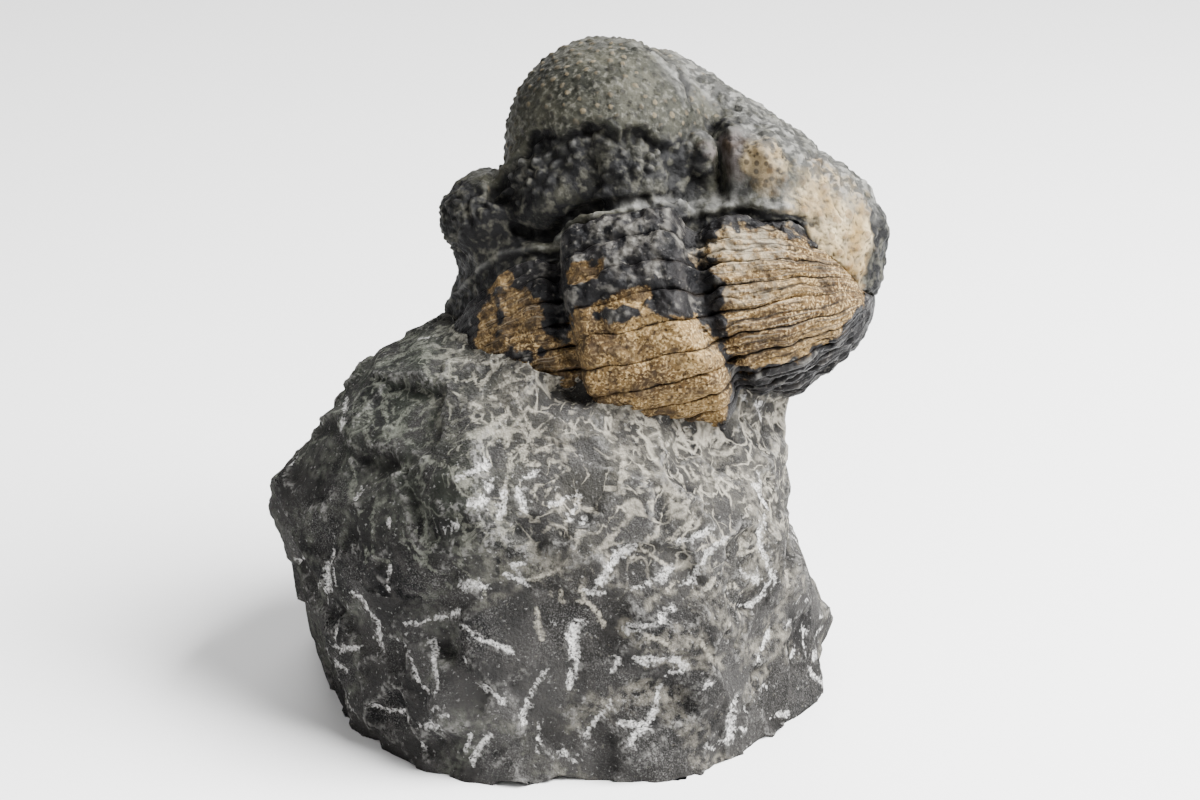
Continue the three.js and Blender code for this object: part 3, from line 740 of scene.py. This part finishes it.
def studs(points, where, spacing, radius):
    """Round studs scattered at least a spacing apart, from 1 on their tops to 0 at their feet."""
    tree = KDTree(len(points))
    for at, point in enumerate(points.tolist()):
        tree.insert(point, at)
    tree.balance()
    free, height = where.copy(), np.zeros(len(points))
    for at in chance.permutation(np.flatnonzero(where)):
        if free[at]:
            own = radius * chance.uniform(0.75, 1.1)
            for _, other, away in tree.find_range(points[at], spacing):
                free[other] = False
                height[other] = max(height[other], 1 - (away / own) ** 2)
    return height


across = [np.arange(a, b, HEAD_GRAIN) for a, b in zip(HEAD_LOW, HEAD_HIGH)]
y, z = np.meshgrid(across[1], across[2], indexing="ij")
form = np.stack([head_form(np.stack([np.full_like(y, x), y, z], -1)) for x in across[0]])
points, faces = skin(form, HEAD_LOW, HEAD_GRAIN)
facing = outward(points, faces)
x, y, z = points.T
radius = np.maximum(np.linalg.norm(points, axis=1), 1)
shown = smooth_step(0.2, 0.6, np.abs(np.sum(points * facing, axis=1)) / radius)
ragged = 0.3 * rough(points, 3, 3)

# The back of the glabella is a step lower, in two lobes of coarse tubercles under a ragged ledge
off_lobe = oval(points, LEFT_LOBE_MIDDLE, LEFT_LOBE_RADII)
off_dome = np.minimum(oval(points, GLABELLA_MIDDLE, GLABELLA_RADII), off_lobe)
on_dome = smooth_step(2.0, 0.8, np.minimum(off_dome, oval(points, (1.5, -10, 23), (9, 9, 7.5))))
behind = smooth_step(-3, -8, y)
ledge = 31.9 - 0.03 * (x + 5) ** 2 + 1.8 * rough(points, 4, 3, 2)
lower = smooth_step(-0.35, 0.35, ledge - z) * behind * on_dome * smooth_step(9.5, 8, x) * smooth_step(15.5, 17, z)
under_ledge = hump(ledge - z - 0.9, 0.8) * lower
split = hump(x + 3.2 - 0.12 * (z - 25), 1.2) * lower
around_lobe = hump(off_lobe - 0.9, 0.8) * behind * smooth_step(-7, -11, x) * smooth_step(28, 25, z)
coarse = studs(points, lower > 0.6, 1.75, 0.95)
fine = studs(points, (on_dome > 0.5) & (lower < 0.3), 1.6, 0.6)
cheek = (x > 21) & (y < -1) & (z < 20)
grit = studs(points, cheek, 2.4, 0.95)
lift = -1.1 * lower - 0.7 * under_ledge - 1.1 * split - 1.0 * around_lobe
lift += (0.6 + 0.5 * rough(points, 3, 2, 90)) * coarse + 0.30 * fine + 0.35 * grit

# A crack runs down from the top of the glabella to the hollow beside the right eye
CRACK = [(7, 41.8), (8.4, 40.7), (9.8, 39.4), (11, 37.9), (11.7, 36.2), (12.3, 34.3), (12.5, 31.8)]
flat = np.stack([x, z], -1) + 0.3 * rough(points, 2, 2, 44)[:, None]
crack = hump(near_line(flat, CRACK)[0], 0.45) * (y < 2)
crack_lip = hump(near_line(flat + (0.9, 0.3), CRACK)[0], 0.5) * (y < 2)

# Lenses in slanting rows on the eyes, and the raised border on the back edge
dome = patch(points, 0.3 * ragged, (20.6, -14, 20.9), (3.1, 5, 4.0))
lobe_rim = hump(np.hypot((x - 12.6) / 2.0, (z - 24.3) / 2.4) - 1, 0.16) * (x < 13.2) * (y < -5)
left_eye = patch(points, 0.3 * ragged, (-24.6, -8, 22.0), (3.4, 8, 5))
left_lens = np.cos(2 * np.pi * (y - 0.3 * z) / 1.7) * np.cos(2 * np.pi * z / 1.6)
left_lens = smooth_step(0.1, 0.6, left_lens) * (left_eye > 0.5)
lift += 0.4 * left_lens + 0.3 * lobe_rim + 0.3 * dome
BORDER = (
    (-29, -26.4, -24.4, -22, -15, -8, -3, 3, 6, 10.6, 16, 21.4, 29),
    (78, 62, 57.4, 53.6, 49, 45.8, 45, 45, 47.5, 52, 50, 46, 47),
)
angle = np.degrees(np.arctan2(z, -y))
bend = angle - np.interp(x, *BORDER) + 1.0 * rough(points, 8, 2, 21)
on_border = smooth_step(-32, -29, x) * smooth_step(28, 22, x) * (y < 1)
border = hump(bend, np.where(bend > 0, 1.9, 1.2) * np.where(x < 0, 0.65, 1.0)) * on_border
border_shadow_band = smooth_step(-0.6, -2.2, bend) * on_border
ring = np.hypot((x + 19.2) / 2.6, (z - 22.2 + 0.3 * (x + 19.2)) / 3.4) + 0.1 * rough(points, 2, 2, 33)
ring = (hump(ring - 1, 0.22) + hump(ring - 0.45, 0.16)) * (y < -5)
lift += (0.35 + 0.3 * smooth_step(-8, 0, x)) * (1 + 0.4 * rough(points, 3, 3, 23)) * border
lift -= 0.5 * border_shadow_band + 0.8 * ring + 0.9 * crack
rest = 1 - on_dome * (1 - lower)
lift += rest * (0.45 * rough(points, 4, 3, 14) + 0.28 * rough(points, 1.5, 3, 18)) + 0.12 * rough(points, 0.9, 2, 17)
corner = x * math.cos(CORNER_SLANT) + z * math.sin(CORNER_SLANT) - CORNER_REACH[1]
lift += 0.3 * hump(corner, 1.6) * smooth_step(26, 30, x)
from_lobe = np.linalg.norm((points - (12.0, -13.2, 23.8)) / (2.6, 3, 3.6), axis=1)
small_lobe = hump(from_lobe, 0.9)
lift += small_lobe * (0.5 * rough(points, 2.2, 3, 52) + 0.3 * rough(points, 1.0, 3, 53))
lift += (smooth_step(8, 14, x) * smooth_step(12, 18, z) * rest) * (0.3 * rough(points, 1.4, 4, 81) + 0.25 * rough(points, 3, 3, 82))
points = points + facing * (lift * shown)[:, None]
spiky = smooth_step(0.1, 0.2, -hollowness(points, faces, 2))
points += spiky[:, None] * (relax(points, faces, 2) - points)

# Painted shade darkens the hollows, the furrows and the pits between the tubercles
deep = np.clip(smooth_step(0.05, 0.5, hollowness(points, faces, 9)) + smooth_step(0.01, 0.06, hollowness(points, faces, 2)), 0, 1)
# Dust on the raised bumps, partly a painted highlight on them, weaker on the left side
high = smooth_step(0.06, 0.35, -hollowness(points, faces, 6)) * rest
slope = smooth_step(0.72, 0.95, facing @ (0.74, 0, 0.67))
slope = np.maximum(slope, smooth_step(-4.5, -2, 0.737 * x + 0.676 * z + 0.008 * y**2 - 35.6)) * smooth_step(7, 13, x)
above_border = smooth_step(-0.5, 1.5, bend) * smooth_step(9, 3, bend) * on_border * smooth_step(6, 10, x)
high = high * smooth_step(0.15, 0.0, border * smooth_step(-4, -8, x)) * (1 - 0.4 * smooth_step(-12, -18, x))
lobe_shade = 0.7 * smooth_step(1.8, 1.1, from_lobe)
thin_line = (0.3 + 0.25 * smooth_step(-17, -22, x)) * hump(bend, 0.8) * on_border * (x < -8)
dust = 0.5 * smooth_step(-8, 2, x) * border + 0.75 * slope + 0.5 * high + 0.45 * above_border + thin_line
dust = np.clip(dust * (1 - lobe_shade) + 0.4 * crack_lip + 0.3 * lobe_rim, 0, 1)
dust = dust * (1 - 0.9 * crack) * (1 - 0.5 * dome)
cream = np.maximum(patch(points, ragged, (27.5, -10, 9), (8.5, 6.5, 11)), dome)
brown = patch(points, ragged, (17.4, -13, 23.2), (3.0, 5.5, 5.4)) * (1 - dome)
brown = np.maximum(brown, 0.8 * patch(points, ragged, (13.0, -13, 24.0), (1.7, 4, 2.2)))
black = 0.72 * lower
for centre, radii, share in [
    ((15.0, -13, 28.0), (3.4, 6, 2.4), 1.0),
    ((9.6, -15, 21.5), (4.2, 7, 6.5), 0.85),
    ((11.4, -13, 21.6), (2.6, 5, 3.0), 0.8),
    ((15.2, -13.5, 18.4), (3.6, 3, 1.9), 0.75),
    ((19.0, -10, 27.4), (3.6, 4.5, 2.0), 0.7),
    ((-16.5, -13, 20.0), (4.2, 5, 6), 0.9),
    ((-23, -8, 20), (7, 10, 9), 0.84),
    ((-20, -8, 12), (12, 14, 7), 0.88),
    ((-27, -6, 4), (7, 12, 8), 0.95),
    ((36.2, 1, 5), (4.4, 9, 15), 1.0),
    ((35, 10, 2), (8, 9, 12), 0.9),
    ((34.5, -3, -3), (3.5, 6, 7), 1.0),
    ((34, -3, 1.5), (3.3, 7, 6), 1.0),
]:
    black = np.maximum(black, share * patch(points, ragged, centre, radii))
# The band below the border is painted black as the shadow under it
black = np.maximum(black, border_shadow_band)
black = np.maximum(black, 0.9 * crack)
fleck = 0.85 * np.maximum(slope, 0.6 * above_border)
head = make_piece(
    "head_shield", seated(points), faces, dust=dust, cream=cream, brown=brown, black=black, deep=deep, fleck=fleck, eye=dome,
    knob=np.clip(fine + grit, 0, 1),
)
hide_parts("cephalon")

head_shell, shader = finish("pustulose_shell", 0.6, 0.14)
place = node(head_shell, "ShaderNodeTexCoord").outputs["Object"]
tone = mixed(head_shell, grained(head_shell, place, 160, 5, 0.35, 0.65), (0.010, 0.0104, 0.0072, 1), (0.046, 0.0445, 0.032, 1))
tone = mixed(head_shell, grained(head_shell, place, 1500, 4, 0.52, 0.72), tone, (0.095, 0.092, 0.076, 1))
tone = mixed(head_shell, times(head_shell, grained(head_shell, place, 560, 4, 0.48, 0.66), 0.6), tone, (0.011, 0.0115, 0.0085, 1))
knobs = torn(head_shell, share_of(head_shell, "knob"), place, 900, 0.6)
knob_tone = mixed(head_shell, grained(head_shell, place, 230, 3, 0.46, 0.6), (0.009, 0.0085, 0.007, 1), (0.11, 0.088, 0.054, 1))
tone = mixed(head_shell, times(head_shell, knobs, 0.7), tone, knob_tone)
cream_tone = mixed(head_shell, grained(head_shell, place, 200, 5, 0.35, 0.65), (0.19, 0.125, 0.048, 1), (0.40, 0.33, 0.20, 1))
cream_tone = mixed(head_shell, grained(head_shell, place, 1200, 4, 0.56, 0.75), cream_tone, (0.08, 0.056, 0.030, 1))
cream_tone = mixed(head_shell, times(head_shell, grained(head_shell, place, 420, 6, 0.48, 0.66), 0.7), cream_tone, (0.105, 0.092, 0.068, 1))
cream_tone = mixed(head_shell, times(head_shell, share_of(head_shell, "eye"), 0.8), cream_tone, (0.15, 0.11, 0.058, 1))
cream_tone = mixed(head_shell, times(head_shell, knobs, 0.55), cream_tone, (0.11, 0.062, 0.022, 1))
lenses = node(head_shell, "ShaderNodeTexVoronoi", {"Vector": place, "Scale": 900, "Randomness": 0.6}).outputs["Distance"]
dots = times(head_shell, graded(head_shell, lenses, 0.44, 0.28), graded(head_shell, share_of(head_shell, "eye"), 0.45, 0.6))
cream_tone = mixed(head_shell, times(head_shell, dots, 0.8), cream_tone, (0.030, 0.022, 0.014, 1))
tone = mixed(head_shell, torn(head_shell, share_of(head_shell, "cream"), place, 300, 0.5, 0.25), tone, cream_tone)
wall_tone = mixed(head_shell, grained(head_shell, place, 420, 5, 0.42, 0.6), (0.026, 0.018, 0.012, 1), (0.072, 0.062, 0.058, 1))
tone = mixed(head_shell, torn(head_shell, share_of(head_shell, "brown"), place, 500, 0.4, 0.2), tone, wall_tone)
dark_tone = mixed(head_shell, grained(head_shell, place, 700, 5, 0.5, 0.7), (0.003, 0.003, 0.0033, 1), (0.060, 0.058, 0.046, 1))
tone = mixed(head_shell, torn(head_shell, share_of(head_shell, "black"), place, 350, 0.6, 0.2), tone, dark_tone)
fleck = times(head_shell, share_of(head_shell, "fleck"), grained(head_shell, place, 800, 8, 0.46, 0.53))
# Painted shade in the hollows and pits
tone = mixed(head_shell, times(head_shell, share_of(head_shell, "deep"), 0.85), tone, (0.0035, 0.0035, 0.0035, 1))
# Dust on the border, the slope and the crack's lip, and painted highlight on the bumps
dusted = times(head_shell, share_of(head_shell, "dust"), grained(head_shell, place, 500, 6, 0.36, 0.62))
tone = mixed(head_shell, dusted, tone, (0.175, 0.173, 0.162, 1))
tone = mixed(head_shell, times(head_shell, fleck, 0.9), tone, (0.016, 0.016, 0.015, 1))
head_shell.node_tree.links.new(tone, shader.inputs["Base Color"])
roughened(head_shell, shader, place, 1100, 0.8, 0.0005)
head.data.materials.append(head_shell)
